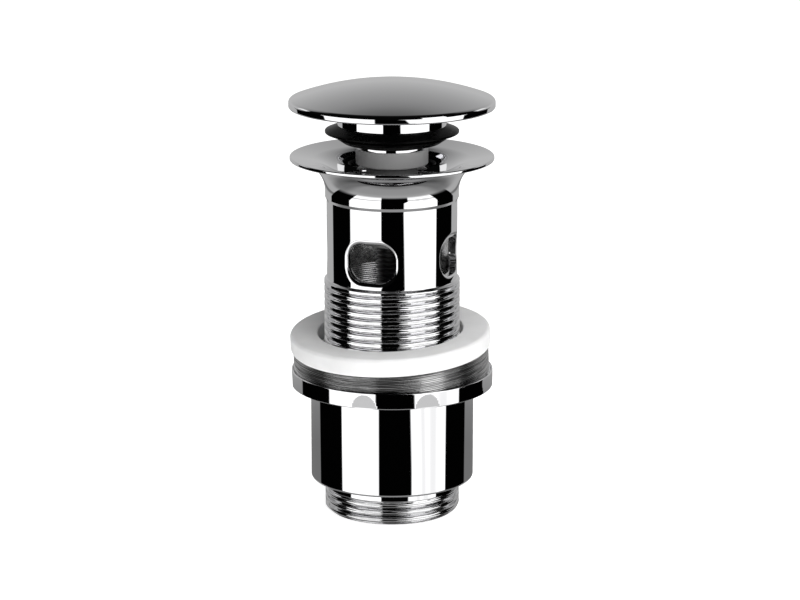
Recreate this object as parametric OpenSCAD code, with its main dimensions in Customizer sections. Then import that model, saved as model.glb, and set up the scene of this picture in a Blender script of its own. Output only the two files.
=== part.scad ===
// Pop up basin waste with push to close plug, slotted overflow body and screw on tail bell.
// Origin: centre of the tail's lower end face. +Z runs up the waste, -Y faces the viewer.

/* [Tail bell] */
// Outside diameter of the pipe thread on the tail and on the body tube
thread_d = 41.91; // [40:0.01:45]
// Radial room between the body tube and the bell that is screwed onto it
thread_fit = 0.05; // [0.03:0.01:0.1]
// Length of the threaded tail
tail_len = 10.3; // [8:0.1:16]
// Diameter of the water way through the tail
outlet_d = 34; // [28:0.5:35]
// Outside diameter of the bell
bell_d = 50.6; // [48:0.1:56]
// Height of the bell from its lower face to its flange
bell_h = 29.7; // [26:0.1:40]
// Thickness of the bell's floor round the water way
bell_floor_t = 3.8; // [2.5:0.1:6]
// Length of the thread inside the bell's mouth
bell_thread_len = 13.5; // [12:0.5:16]
// Depth of the clearance below the inside thread
bell_relief = 0.65; // [0.4:0.05:1]
// Diameter of the bell's clamping flange
bell_flange_d = 62.5; // [60:0.5:68]
// Thickness of the clamping flange
bell_flange_t = 5; // [3.5:0.1:7]
// Depth of the recess in the flange that the slip washer lies in
recess_depth = 3.2; // [2:0.1:3.6]
// Wall of the flange left round the recess
recess_wall = 0.5; // [0.4:0.05:0.6]
// Number of shallow spanner flats round the flange
flat_count = 10; // [6:1:12]
// Depth of a flat at the flange's lower edge
flat_depth = 0.21; // [0.1:0.01:0.4]
// Height at which a flat runs out into the flange's edge
flat_h = 4.1; // [3:0.1:4.8]
// Turn of the first flat from the front
flat_turn = 20.1; // [0:0.1:36]

/* [Clamping washers] */
// Outside diameter of the basin seal
basin_seal_d = 62.1; // [60:0.1:68]
// Thickness of the basin seal
basin_seal_t = 5.7; // [4:0.1:8]
// Rounding of the basin seal's edges
basin_seal_edge = 1.2; // [0.6:0.1:1.8]
// Radial room between the basin seal and the body thread
basin_seal_room = 1.55; // [1:0.05:2]
// Thickness of the slip washer
slip_t = 8; // [6:0.1:9]
// Radial room of the slip washer in the bell's recess
slip_room = 0.45; // [0.4:0.05:0.6]
// Room left where the leaning slip washer comes nearest to the recess wall
slip_rest = 0.07; // [0.05:0.01:0.1]
// Lean of the loose washers, which lie aslant in the recess
washer_lean = 4; // [0:0.1:4.4]
// Direction of the washers' high side, counted from +X
washer_lean_dir = 58; // [0:1:360]

/* [Waste body] */
// Length of the body tube that is screwed into the bell
engagement = 8.9; // [8:0.1:12]
// Length of the threaded part of the tube
tube_thread_len = 41; // [36:0.1:50]
// Outside diameter of the plain tube
tube_d = 40.2; // [39:0.1:41]
// Length of the plain tube
tube_len = 24.6; // [22:0.1:35]
// Height of the step from the tube out to the collar
step_h = 0.9; // [0.5:0.1:1.5]
// Diameter of the collar under the flange
collar_d = 41.1; // [41:0.1:43]
// Height of the straight collar
collar_h = 1.8; // [1:0.1:4]
// Radius of the flared underside of the flange
flare_r = 9.7; // [8:0.1:10]
// Diameter of the basin flange
flange_d = 62.6; // [62:0.1:68]
// Thickness of the flange's rounded lip
lip_t = 1.1; // [0.8:0.1:2]
// Fall of the flange's top from its lip towards the funnel, in degrees
dish_slope = 11.5; // [8:0.5:14]
// Radius of the funnel that rounds the flange's top down into the bore
throat_r = 9; // [8:0.1:9.5]
// Diameter of the water way through the body
bore_d = 35; // [34.4:0.1:36]

/* [Overflow slots] */
// Number of overflow slots round the tube
slot_count = 4; // [3:1:4]
// Width of a slot across its chord
slot_w = 15.4; // [11:0.1:17]
// Height of a slot
slot_h = 12; // [10.5:0.1:15]
// Corner radius of a slot
slot_corner = 5; // [3:0.1:5]
// Height of the slots above the end of the thread
slot_rise = 2.3; // [1:0.1:5]
// Turn of the first slot from the front
slot_turn = -19.5; // [-45:0.5:45]

/* [Cross bar] */
// Number of arms that carry the hub
arm_count = 3; // [2:1:4]
// Width of an arm
arm_w = 4.5; // [3:0.1:6]
// Height of the hub and of its arms
hub_h = 8; // [6:0.1:10]
// Diameter of the hub
hub_d = 17; // [15:0.1:19]
// Distance of the hub's top below the end of the thread
hub_drop = 6.5; // [4:0.1:9]

/* [Cartridge] */
// Diameter of the anchor stud
stud_d = 10; // [8:0.1:11]
// Radial room of every screwed joint of the cartridge
screw_fit = 0.05; // [0.03:0.01:0.1]
// Length of stud screwed into the barrel
stud_grip = 5; // [4:0.1:8]
// Length of stud past the lock nut
stud_end = 1; // [0.5:0.1:3]
// Height of the lock nut
nut_h = 6; // [4:0.1:8]
// Width of the lock nut across its flats
nut_flats = 16; // [14:0.1:17]
// Thickness of the lock washer
lock_washer_t = 1; // [0.6:0.1:1.5]
// Outside diameter of the cartridge barrel
barrel_d = 15.8; // [15:0.1:16.4]
// Wall of the barrel round the index ring
barrel_wall = 1.3; // [1.1:0.1:1.5]
// Diameter of the cam plunger
plunger_d = 10; // [9.4:0.1:10.2]
// Radial running fit of the plunger in its guide bush
plunger_fit = 0.06; // [0.03:0.01:0.1]
// Radial room between the plunger and everything else that it slides through
plunger_room = 0.35; // [0.3:0.01:0.4]
// Height of the guide bush
bush_h = 3.8; // [3:0.1:5]
// Thickness of the snap ring
snap_t = 1; // [0.7:0.1:1.3]
// Depth of the snap ring's groove
snap_groove = 0.5; // [0.3:0.05:0.7]
// Radial width of the snap ring
snap_w = 1; // [0.8:0.05:1.2]
// Opening in the snap ring
snap_gap = 2.5; // [1.5:0.1:4]
// Barrel wall left above the snap ring
snap_land = 0.9; // [0.6:0.1:1.5]

/* [Push mechanism] */
// Stroke of the plug from open to the end of its push
stroke = 10.3; // [9:0.1:10.6]
// Height below the end of the push at which the plug latches closed
latch_drop = 1.4; // [1:0.1:2]
// Turn of the index ring while the plug is pushed in
index_turn = 65; // [60:1:70]
// Depth of the cam track in the plunger
track_depth = 1.1; // [0.8:0.1:1.2]
// Half height of the cam track, measured along the plunger
track_half = 1.95; // [1.9:0.01:2.1]
// Plunger left below the cam track
plunger_toe = 1.7; // [1.5:0.1:3]
// Diameter of a follower pin
pin_d = 1.4; // [1:0.1:1.4]
// Height of the index ring
ring_h = 4; // [3:0.1:5]
// Axial play of the index ring in the barrel
ring_play = 0.15; // [0.1:0.01:0.3]
// Clearance left at either end of the stroke
end_gap = 0.7; // [0.5:0.1:1.2]
// Diameter of the spring's wire
spring_wire = 0.7; // [0.5:0.05:0.8]
// Diameter of the spring's pocket in the plunger
spring_pocket_d = 6; // [5.6:0.1:6.2]
// Turns of the return spring
spring_turns = 11; // [8:1:13]

/* [Plug] */
// Clearance of the plug seal over the flange at the end of the push
lip_gap = 0.3; // [0.2:0.05:0.6]
// Diameter of the plug seal's lip
lip_d = 41; // [40:0.1:44]
// Thickness of the lip at its edge
lip_edge_t = 0.6; // [0.4:0.05:0.9]
// Height from the lip's lower edge to the boss
lip_rise = 2.1; // [1.8:0.1:3]
// Height of the plug seal
plug_seal_h = 5.2; // [4.8:0.1:7]
// Diameter of the plug seal's root, which enters the bore
seal_root_d = 33.8; // [30:0.1:34]
// Thickness of the seal retainer
retainer_t = 1.6; // [0.8:0.1:2]
// Diameter of the seal retainer
retainer_d = 22.3; // [22:0.1:24]
// Diameter of the sleeve's grip collar
sleeve_d = 22.2; // [22:0.1:24]
// Height of the sleeve's grip collar
sleeve_h = 5.1; // [4:0.1:7]
// Wall of the sleeve's threaded neck
neck_wall = 1.4; // [1.2:0.1:1.6]
// Radial room between the sleeve and the barrel
sleeve_room = 0.3; // [0.3:0.01:0.4]
// Thickness of the sleeve's roof
sleeve_roof_t = 2; // [1.6:0.1:3]
// Section diameter of the grit ring in the sleeve
grit_ring_d = 1.6; // [1.2:0.1:1.8]
// Sleeve left below the grit ring's groove
grit_land = 0.6; // [0.4:0.1:1]
// Diameter of the chrome boss under the cap
boss_d = 33.3; // [32:0.1:36]
// Height of the boss
boss_h = 5.6; // [5:0.1:8]
// Depth of the boss's threaded socket
boss_socket = 3.4; // [3:0.1:4]
// Diameter of the stud that holds the cap
cap_stud_d = 6; // [5:0.1:6]
// Length of the cap stud screwed into the cap
cap_stud_grip = 5; // [4:0.1:5.5]
// Length of the cap stud screwed into the plunger
plunger_stud_grip = 5.4; // [4:0.1:6]
// Diameter of the cap
cap_d = 63.1; // [62:0.1:68]
// Height of the cap's straight rim
cap_rim_h = 2.4; // [2:0.1:4]
// Rounding of the rim's lower edge
cap_edge = 0.5; // [0.3:0.05:1.4]
// Rise of the dome above the rim
dome_h = 5.7; // [5:0.1:9]
// Thickness of the cap's dome
cap_wall = 2.8; // [2:0.1:3.4]
// Width of the rim that stands round the hollow under the cap
cap_rim_w = 2.6; // [2:0.1:4]
// Width of the solid pad under the cap beyond the boss
cap_pad = 1; // [0.5:0.1:3]

/* [Hidden] */
$fn = 96;
chrome = "#c8ccd1";
turned = "#8f9294";
steel = "#a9adb2";
rubber = "#161616";
grey_plastic = "#8b8d8e";
dark_plastic = "#4a4c4e";
white_plastic = "#f1f1ef";
eps = 0.01;
over = 1;

thread_r = thread_d / 2;
tube_r = tube_d / 2;
bore_r = bore_d / 2;
collar_r = collar_d / 2;
flange_r = flange_d / 2;

// Heights of the tail bell
bell_z0 = tail_len;
bell_floor_z = bell_z0 + bell_floor_t;
bell_flange_z = bell_z0 + bell_h;
bell_top = bell_flange_z + bell_flange_t;
recess_z = bell_top - recess_depth;
recess_r = bell_flange_d / 2 - recess_wall;
bell_edge = 0.8;
thread_lead = 1;

// Slip washer, slid across the recess floor until it nearly touches the wall
slip_r = recess_r - slip_room;
washer_shift = recess_r - slip_rest - slip_r * cos(washer_lean) - recess_depth * tan(washer_lean);

// Heights of the waste body
tube_z0 = recess_z - engagement;
thread_z1 = tube_z0 + tube_thread_len;
step_z0 = thread_z1 + tube_len;
collar_z0 = step_z0 + step_h;
flare_z0 = collar_z0 + collar_h;
lip_z0 = flare_z0 + flare_r;
flange_top = lip_z0 + lip_t;
lip_edge_r = lip_t / 2;
lip_x = flange_r - lip_edge_r;
throat_x = bore_r + throat_r;
throat_z = flange_top - (lip_x - throat_x) * tan(dish_slope) - throat_r / cos(dish_slope);
slot_z = thread_z1 + slot_rise + slot_h / 2;
hub_z1 = thread_z1 - hub_drop;
hub_z0 = hub_z1 - hub_h;

// Heights of the plug, worked down from the seat that its seal closes on
seat_z = throat_z + sqrt(pow(throat_r, 2) - pow(throat_x - lip_d / 2, 2));
seal_lip_z = seat_z + stroke + lip_gap;
boss_z0 = seal_lip_z + lip_rise;
boss_z1 = boss_z0 + boss_h;
socket_z1 = boss_z0 + boss_socket;
plug_seal_z0 = boss_z0 - plug_seal_h;
retainer_z0 = plug_seal_z0 - retainer_t;
sleeve_z0 = retainer_z0 - sleeve_h;
sleeve_roof_z = socket_z1 - sleeve_roof_t;
rim_z1 = boss_z1 + cap_rim_h;
cap_top = rim_z1 + dome_h;
dome_r = (pow(cap_d / 2, 2) + pow(dome_h, 2)) / (2 * dome_h);

// Heights of the cartridge, worked down from the sleeve's roof
barrel_z1 = sleeve_roof_z - stroke - end_gap;
snap_z1 = barrel_z1 - snap_land;
snap_z0 = snap_z1 - snap_t;
bush_z0 = snap_z0 - bush_h;
ring_z1 = bush_z0 - ring_play;
ring_z0 = ring_z1 - ring_h;
ring_seat_z = ring_z0 - ring_play;
pin_z = (ring_z0 + ring_z1) / 2;
plunger_z0 = pin_z - track_half - plunger_toe;
stud_z1 = plunger_z0 - stroke - end_gap;
barrel_z0 = stud_z1 - stud_grip;
lock_washer_z0 = hub_z0 - lock_washer_t;
nut_z0 = lock_washer_z0 - nut_h;
stud_z0 = nut_z0 - stud_end;
plunger_hole_z = sleeve_roof_z - plunger_stud_grip;
pocket_roof_t = 1.5;
pocket_z1 = plunger_hole_z - pocket_roof_t;

// Radii of the cartridge and of the plug
stud_r = stud_d / 2;
plunger_r = plunger_d / 2;
barrel_r = barrel_d / 2;
ring_bore_r = barrel_r - barrel_wall;
ring_r = ring_bore_r - screw_fit;
cavity_r = barrel_r + sleeve_room;
neck_r = cavity_r + neck_wall;
cap_stud_r = cap_stud_d / 2;
grit_r = grit_ring_d / 2;
grit_ring_z = sleeve_z0 + grit_land + grit_r;

// Ring profile in the half plane of a revolve, with both outer corners rounded
module round_ring(r_in, r_out, z0, z1, edge) {
    translate([r_in, z0]) square([r_out - edge - r_in, z1 - z0]);
    translate([r_in, z0 + edge]) square([r_out - r_in, z1 - z0 - 2 * edge]);
    for (z = [z0 + edge, z1 - edge]) {
        translate([r_out - edge, z]) circle(edge);
    }
}

// Plain ring about the Z axis
module tube(r_out, r_in, z0, z1) {
    difference() {
        translate([0, 0, z0]) cylinder(r = r_out, h = z1 - z0);
        translate([0, 0, z0 - over]) cylinder(r = r_in, h = z1 - z0 + 2 * over);
    }
}

// Upright hole about the Z axis
module bore(r, z0, z1) {
    translate([0, 0, z0]) cylinder(r = r, h = z1 - z0);
}

// Height of the cam track above its lowest point at a turn of a degrees.
// One half turn climbs to the end of the push, dips into the latch, climbs again and returns.
function track_height(a) =
    lookup(a % 180, [
        [0, 0],
        [index_turn, stroke],
        [90, stroke - latch_drop],
        [180 - index_turn, stroke],
        [180, 0]
    ]);

// Closed band that follows the cam track round the plunger, to be cut out of it
module cam_track(r_in, r_out, half) {
    step_deg = 5;
    count = 360 / step_deg;
    points = [
        for (i = [0 : count - 1])
            let (a = i * step_deg, z = track_height(a))
                for (corner = [[r_in, -half], [r_out, -half], [r_out, half], [r_in, half]])
                    [corner[0] * cos(a), corner[0] * sin(a), z + corner[1]]
    ];
    faces = [
        for (i = [0 : count - 1], k = [0 : 3])
            let (j = (i + 1) % count, n = (k + 1) % 4)
                for (t = [[i * 4 + k, j * 4 + n, j * 4 + k], [i * 4 + k, i * 4 + n, j * 4 + n]])
                    t
    ];
    polyhedron(points, faces);
}

// Round wire swept along a helix, with half a turn laid flat at each end
module coil(mean_r, wire_r, length, turns) {
    sides = 6;
    per_turn = 14;
    count = turns * per_turn;
    climb = length - 2 * wire_r;
    points = [
        for (i = [0 : count])
            let (
                a = 360 * i / per_turn,
                f = min(1, max(0, (i - per_turn / 2) / (count - per_turn))),
                z = wire_r + climb * f
            )
                for (s = [0 : sides - 1])
                    let (b = 360 * s / sides + 90, r = mean_r + wire_r * cos(b))
                        [r * cos(a), r * sin(a), z + wire_r * sin(b)]
    ];
    sides_faces = [
        for (i = [0 : count - 1], s = [0 : sides - 1])
            let (p = i * sides, q = p + sides, n = (s + 1) % sides)
                for (t = [[p + s, q + n, q + s], [p + s, p + n, q + n]])
                    t
    ];
    start_cap = [for (s = [1 : sides - 2]) [0, s + 1, s]];
    last = count * sides;
    end_cap = [for (s = [1 : sides - 2]) [last, last + s, last + s + 1]];
    polyhedron(points, concat(sides_faces, start_cap, end_cap));
}

// Leans a washer on the floor of the bell's recess, raised by lift along its own slanting axis
module lean(lift) {
    rise = recess_z + slip_r * sin(washer_lean) + lift * cos(washer_lean);
    drift = -washer_shift - lift * sin(washer_lean);
    rotate([0, 0, washer_lean_dir])
        translate([drift, 0, rise])
            rotate([0, -washer_lean, 0])
                children();
}

module plug_cap() {
    hub_r = boss_d / 2 + cap_pad;
    rim_r = cap_d / 2;
    color(chrome)
        difference() {
            rotate_extrude()
                difference() {
                    intersection() {
                        translate([0, cap_top - dome_r]) circle(dome_r, $fn = 360);
                        union() {
                            translate([0, boss_z1]) square([rim_r - cap_edge, cap_top - boss_z1]);
                            translate([0, boss_z1 + cap_edge]) square([rim_r, cap_top - boss_z1]);
                            translate([rim_r - cap_edge, boss_z1 + cap_edge]) circle(cap_edge);
                        }
                    }
                    intersection() {
                        translate([0, cap_top - dome_r]) circle(dome_r - cap_wall, $fn = 360);
                        translate([hub_r, boss_z1 - over])
                            square([rim_r - cap_rim_w - hub_r, cap_top - boss_z1]);
                    }
                }
            bore(cap_stud_r + screw_fit, boss_z1 - over, boss_z1 + cap_stud_grip + screw_fit);
        }
}

module plug_boss() {
    color(chrome)
        difference() {
            bore(boss_d / 2, boss_z0, boss_z1);
            bore(neck_r + screw_fit, boss_z0 - over, socket_z1);
            bore(cap_stud_r + screw_fit, socket_z1 - over, boss_z1 + over);
        }
}

module cap_stud() {
    color(steel)
        bore(cap_stud_r, plunger_hole_z + screw_fit, boss_z1 + cap_stud_grip);
}

module plug_seal() {
    hole_r = neck_r + screw_fit;
    lip_r = lip_d / 2;
    root_r = seal_root_d / 2;
    toe_in = 4.2;
    toe = 1.4;
    bead_h = 0.4;
    groove = 0.8;
    bead_z1 = plug_seal_z0 + toe + bead_h;
    color(rubber)
        rotate_extrude()
            polygon([
                [hole_r, plug_seal_z0],
                [root_r - toe_in, plug_seal_z0],
                [root_r, plug_seal_z0 + toe],
                [root_r, bead_z1],
                [root_r - groove, bead_z1 + groove],
                [lip_r, seal_lip_z],
                [lip_r, seal_lip_z + lip_edge_t],
                [boss_d / 2, boss_z0],
                [hole_r, boss_z0]
            ]);
}

module seal_retainer() {
    edge = 0.3;
    color(chrome)
        rotate_extrude()
            round_ring(neck_r + screw_fit, retainer_d / 2, retainer_z0, plug_seal_z0, edge);
}

module plunger_sleeve() {
    groove_half = grit_r + screw_fit;
    groove_r = barrel_r + plunger_fit + grit_ring_d + screw_fit;
    edge = 0.4;
    color(grey_plastic)
        difference() {
            union() {
                rotate_extrude() round_ring(0, sleeve_d / 2, sleeve_z0, retainer_z0, edge);
                bore(neck_r, retainer_z0 - over, socket_z1);
            }
            bore(cavity_r, sleeve_z0 - over, sleeve_roof_z);
            bore(groove_r, grit_ring_z - groove_half, grit_ring_z + groove_half);
            bore(cap_stud_r + screw_fit, sleeve_roof_z - over, socket_z1 + over);
        }
}

module grit_ring() {
    color(rubber)
        translate([0, 0, grit_ring_z])
            rotate_extrude()
                translate([barrel_r + plunger_fit + grit_r, 0]) circle(grit_r, $fn = 32);
}

module cam_plunger() {
    color(white_plastic)
        difference() {
            bore(plunger_r, plunger_z0, sleeve_roof_z);
            bore(spring_pocket_d / 2, plunger_z0 - over, pocket_z1);
            bore(cap_stud_r + screw_fit, plunger_hole_z, sleeve_roof_z + over);
            translate([0, 0, pin_z]) cam_track(plunger_r - track_depth, plunger_r + over, track_half);
        }
}

module return_spring() {
    wire_r = spring_wire / 2;
    pocket_room = 0.2;
    mean_r = spring_pocket_d / 2 - pocket_room - wire_r;
    color(steel)
        translate([0, 0, stud_z1])
            coil(mean_r, wire_r, pocket_z1 - stud_z1, spring_turns);
}

module index_ring() {
    color(dark_plastic)
        difference() {
            tube(ring_r, plunger_r + plunger_room, ring_z0, ring_z1);
            translate([0, 0, pin_z])
                rotate([0, 90, 0])
                    cylinder(d = pin_d + 2 * screw_fit, h = 2 * (ring_r + over), center = true);
        }
}

module follower_pins() {
    tip_gap = 0.2;
    tip_r = plunger_r - track_depth + tip_gap;
    pin_len = ring_r - tip_gap - tip_r;
    color(steel)
        for (side = [0, 180]) {
            rotate([0, 0, side])
                translate([tip_r, 0, pin_z])
                    rotate([0, 90, 0])
                        cylinder(d = pin_d, h = pin_len, $fn = 32);
        }
}

module cartridge_barrel() {
    color(dark_plastic)
        difference() {
            bore(barrel_r, barrel_z0, barrel_z1);
            bore(stud_r + screw_fit, barrel_z0 - over, stud_z1);
            bore(plunger_r + plunger_room, stud_z1 - over, ring_seat_z + over);
            bore(ring_bore_r, ring_seat_z, barrel_z1 + over);
            bore(ring_bore_r + snap_groove, snap_z0, snap_z1);
        }
}

module guide_bush() {
    color(white_plastic)
        tube(ring_r, plunger_r + plunger_fit, bush_z0, snap_z0);
}

module snap_ring() {
    out_r = ring_bore_r + snap_groove - screw_fit;
    color(steel)
        difference() {
            tube(out_r, out_r - snap_w, snap_z0, snap_z1);
            translate([0, -snap_gap / 2, snap_z0 - over])
                cube([out_r + over, snap_gap, snap_t + 2 * over]);
        }
}

module anchor_stud() {
    color(steel)
        bore(stud_r, stud_z0, stud_z1);
}

module lock_nut() {
    color(steel)
        difference() {
            translate([0, 0, nut_z0])
                cylinder(d = nut_flats / cos(30), h = nut_h, $fn = 6);
            bore(stud_r + screw_fit, nut_z0 - over, nut_z0 + nut_h + over);
        }
}

module lock_washer() {
    color(steel)
        tube(nut_flats / 2, stud_r + 4 * screw_fit, lock_washer_z0, hub_z0);
}

// Rounded window of the overflow, to be cut out of the tube along -Y
module slot_window() {
    inner_w = slot_w - 2 * slot_corner;
    inner_h = slot_h - 2 * slot_corner;
    rotate([90, 0, 0])
        linear_extrude(flange_r) {
            square([slot_w, inner_h], center = true);
            square([inner_w, slot_h], center = true);
            for (x = [-inner_w / 2, inner_w / 2], y = [-inner_h / 2, inner_h / 2]) {
                translate([x, y]) circle(slot_corner);
            }
        }
}

// Half section of the turned body: threaded tube, plain tube, collar and flared flange
module body_section() {
    flare_x = collar_r + flare_r;
    mouth_x = throat_x - throat_r * sin(dish_slope);
    mouth_z = throat_z + throat_r * cos(dish_slope);
    difference() {
        union() {
            polygon([
                [bore_r, tube_z0],
                [thread_r - thread_lead, tube_z0],
                [thread_r, tube_z0 + thread_lead],
                [thread_r, thread_z1 - thread_lead],
                [tube_r, thread_z1],
                [tube_r, step_z0],
                [collar_r, collar_z0],
                [collar_r, flare_z0 + eps],
                [bore_r, flare_z0 + eps]
            ]);
            difference() {
                union() {
                    translate([bore_r, flare_z0]) square([lip_x - bore_r, flare_r + lip_t]);
                    translate([lip_x, lip_z0 + lip_edge_r]) circle(lip_edge_r);
                }
                translate([flare_x, flare_z0]) circle(flare_r, $fn = 180);
                translate([flare_x, flare_z0 - over]) square([flange_r, flare_r + over]);
            }
        }
        difference() {
            translate([bore_r - over, throat_z])
                square([mouth_x - bore_r + over, flange_top - throat_z + over]);
            translate([throat_x, throat_z]) circle(throat_r, $fn = 180);
        }
        polygon([
            [mouth_x, mouth_z],
            [lip_x, flange_top],
            [lip_x, flange_top + over],
            [mouth_x, flange_top + over]
        ]);
    }
}

module waste_body() {
    color(chrome)
        difference() {
            union() {
                rotate_extrude() body_section();
                bore(hub_d / 2, hub_z0, hub_z1);
                for (i = [0 : arm_count - 1]) {
                    rotate([0, 0, 90 + i * 360 / arm_count])
                        translate([0, -arm_w / 2, hub_z0])
                            cube([bore_r + thread_lead, arm_w, hub_h]);
                }
            }
            bore(stud_r + screw_fit, hub_z0 - over, hub_z1 + over);
            for (i = [0 : slot_count - 1]) {
                rotate([0, 0, slot_turn + i * 360 / slot_count])
                    translate([0, 0, slot_z]) slot_window();
            }
        }
}

module basin_seal() {
    color(white_plastic)
        lean(slip_t)
            rotate_extrude()
                round_ring(thread_r + basin_seal_room, basin_seal_d / 2, 0, basin_seal_t, basin_seal_edge);
}

module slip_washer() {
    edge = 0.25;
    color(turned)
        lean(0)
            rotate_extrude()
                round_ring(thread_r + basin_seal_room, slip_r, 0, slip_t, edge);
}

// Block that cuts one spanner flat into the front of the bell's flange, tilted to run out upwards
module spanner_flat() {
    flat_w = bell_flange_d / 3;
    translate([-flat_w / 2, flat_depth - bell_flange_d / 2, bell_flange_z])
        rotate([atan(flat_depth / flat_h), 0, 0])
            translate([0, -flat_w, -over]) cube([flat_w, flat_w, flat_h + 2 * over]);
}

module tail_bell() {
    thread_bore_r = thread_r + thread_fit;
    relief_r = thread_bore_r + bell_relief;
    flange_edge = 0.25;
    color(chrome)
        difference() {
            rotate_extrude() {
                polygon([
                    [0, 0],
                    [thread_r - thread_lead, 0],
                    [thread_r, thread_lead],
                    [thread_r, bell_z0 + bell_edge],
                    [0, bell_z0 + bell_edge]
                ]);
                round_ring(0, bell_d / 2, bell_z0, bell_flange_z + bell_edge, bell_edge);
                round_ring(0, bell_flange_d / 2, bell_flange_z, bell_top, flange_edge);
            }
            bore(outlet_d / 2, -over, bell_floor_z + over);
            bore(relief_r, bell_floor_z, recess_z - bell_thread_len);
            bore(thread_bore_r, bell_floor_z + over, recess_z + over);
            bore(recess_r, recess_z, bell_top + over);
            for (i = [0 : flat_count - 1]) {
                rotate([0, 0, flat_turn + i * 360 / flat_count]) spanner_flat();
            }
        }
}

plug_cap();
plug_boss();
cap_stud();
plug_seal();
seal_retainer();
plunger_sleeve();
grit_ring();
cam_plunger();
return_spring();
index_ring();
follower_pins();
cartridge_barrel();
guide_bush();
snap_ring();
anchor_stud();
lock_nut();
lock_washer();
waste_body();
basin_seal();
slip_washer();
tail_bell();
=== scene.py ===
# %% [markdown]
# # Pop up basin waste
# A basin waste is a set of turned brass pieces, plated with chrome, that hang on one axis.
# Nearly every piece is a profile spun round that axis, so most cells below draw a profile
# and spin it. The threads, the overflow slots and the spanner flats are the exceptions.

import math

import bpy
import numpy as np
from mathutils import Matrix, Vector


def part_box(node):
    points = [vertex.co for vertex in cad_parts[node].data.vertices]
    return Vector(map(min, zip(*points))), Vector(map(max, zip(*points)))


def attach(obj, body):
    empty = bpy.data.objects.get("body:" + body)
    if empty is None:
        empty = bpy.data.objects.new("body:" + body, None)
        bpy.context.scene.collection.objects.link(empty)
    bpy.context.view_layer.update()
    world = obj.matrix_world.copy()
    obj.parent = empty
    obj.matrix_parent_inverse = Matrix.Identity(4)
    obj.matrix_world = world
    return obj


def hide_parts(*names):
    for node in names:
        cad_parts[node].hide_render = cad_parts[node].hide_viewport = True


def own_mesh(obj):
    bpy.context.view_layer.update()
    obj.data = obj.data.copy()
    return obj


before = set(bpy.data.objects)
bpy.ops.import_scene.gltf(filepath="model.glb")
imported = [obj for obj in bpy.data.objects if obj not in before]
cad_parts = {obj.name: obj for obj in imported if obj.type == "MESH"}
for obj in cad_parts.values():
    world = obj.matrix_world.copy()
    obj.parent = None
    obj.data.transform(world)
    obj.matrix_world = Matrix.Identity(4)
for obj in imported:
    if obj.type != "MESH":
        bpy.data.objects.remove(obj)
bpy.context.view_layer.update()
MM = 0.001


def heights(node):
    """Lowest and highest level of a CAD node at rest, in millimetres."""
    low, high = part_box(node)
    return round(low.z / MM, 3), round(high.z / MM, 3)


# %% [markdown]
# ## The camera
# The photo looks down on the waste by fourteen degrees, from most of a metre away, so the cap's
# ellipse is flatter than the tail's. A long lens from that distance gives the same ellipses. The
# camera turns a little to the right, which puts the waste left of the middle.

# %% Camera
CAMERA_DISTANCE = 850
CAMERA_HEIGHT = 278.1
CAMERA_PITCH = 13.986
CAMERA_TURN = 0.165
IMAGE_WIDTH = 800
FOCAL_PIXELS = 2832.6

camera_data = bpy.data.cameras.new("studio_camera")
camera_data.sensor_width = 36
camera_data.lens = FOCAL_PIXELS / IMAGE_WIDTH * camera_data.sensor_width
camera_data.clip_end = 50
camera = bpy.data.objects.new("studio_camera", camera_data)
camera.location = (0, -CAMERA_DISTANCE * MM, CAMERA_HEIGHT * MM)
camera.rotation_euler = (math.radians(90 - CAMERA_PITCH), 0, math.radians(-CAMERA_TURN))
bpy.context.scene.collection.objects.link(camera)
bpy.context.scene.camera = camera
print("camera: lens", round(camera_data.lens, 1), "mm")

# %% [markdown]
# ## From a profile to a surface
# A turned piece is a half section carried round the axis. The section is a list of corners,
# each with the rounding that the tool or the polishing wheel leaves. Spin in edit mode could
# do this too, but arrays keep every corner's size in sight.

# %% Profiles and surfaces of revolution
ARC_STEP = 12


def rounded_corner(before, corner, after, rounding):
    """Arc of the given radius that touches both sides of a corner. Its centre lies on the line
    that halves the corner, and its points swing from one touching point to the other."""
    a = (before - corner) / np.linalg.norm(before - corner)
    b = (after - corner) / np.linalg.norm(after - corner)
    half = np.arccos(np.clip(a @ b, -1, 1)) / 2
    if rounding == 0 or half > 1.56:
        return corner[None]
    centre = corner + (a + b) / np.linalg.norm(a + b) * rounding / np.sin(half)
    first = corner + a * rounding / np.tan(half) - centre
    last = corner + b * rounding / np.tan(half) - centre
    swing = np.pi - 2 * half
    t = np.linspace(0, 1, 2 + int(np.degrees(swing) / ARC_STEP))[:, None]
    return centre + (np.sin((1 - t) * swing) * first + np.sin(t * swing) * last) / np.sin(swing)


def profile(corners, closed=True):
    """Polyline in the half plane (radius, height) through corners of (radius, height, rounding).
    It runs outwards along the bottom, up the outside and back down the inside."""
    c = np.array([row if len(row) == 3 else (*row, 0) for row in corners], float)
    before = np.roll(c, 1, axis=0)
    after = np.roll(c, -1, axis=0)
    if not closed:
        c[[0, -1], 2] = 0
        before[0], after[-1] = c[1], c[-2]
    arcs = [rounded_corner(p[:2], q[:2], n[:2], q[2]) for p, q, n in zip(before, c, after)]
    line = np.concatenate(arcs + ([arcs[0][:1]] if closed else []))
    return line[:, 0:1], line[:, 1:2]


def around(r, z, columns, start=0.0):
    """Surface of revolution: a point at angle phi is (r cos phi, r sin phi, z). The radius and
    the height may each change along the profile and round the axis."""
    phi = np.radians(start) + np.linspace(0, 2 * np.pi, columns + 1)
    r, z, phi = np.broadcast_arrays(r, z, phi)
    return np.stack([r * np.cos(phi), r * np.sin(phi), z], -1)


def sheet(points):
    """Four-sided faces between neighbouring points of a grid of (rows, columns, 3)."""
    rows, columns = points.shape[:2]
    k = np.arange(rows * columns).reshape(rows, columns)
    faces = np.stack([k[:-1, :-1], k[:-1, 1:], k[1:, 1:], k[1:, :-1]], -1)
    return points.reshape(-1, 3), faces.reshape(-1, 4)


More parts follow.
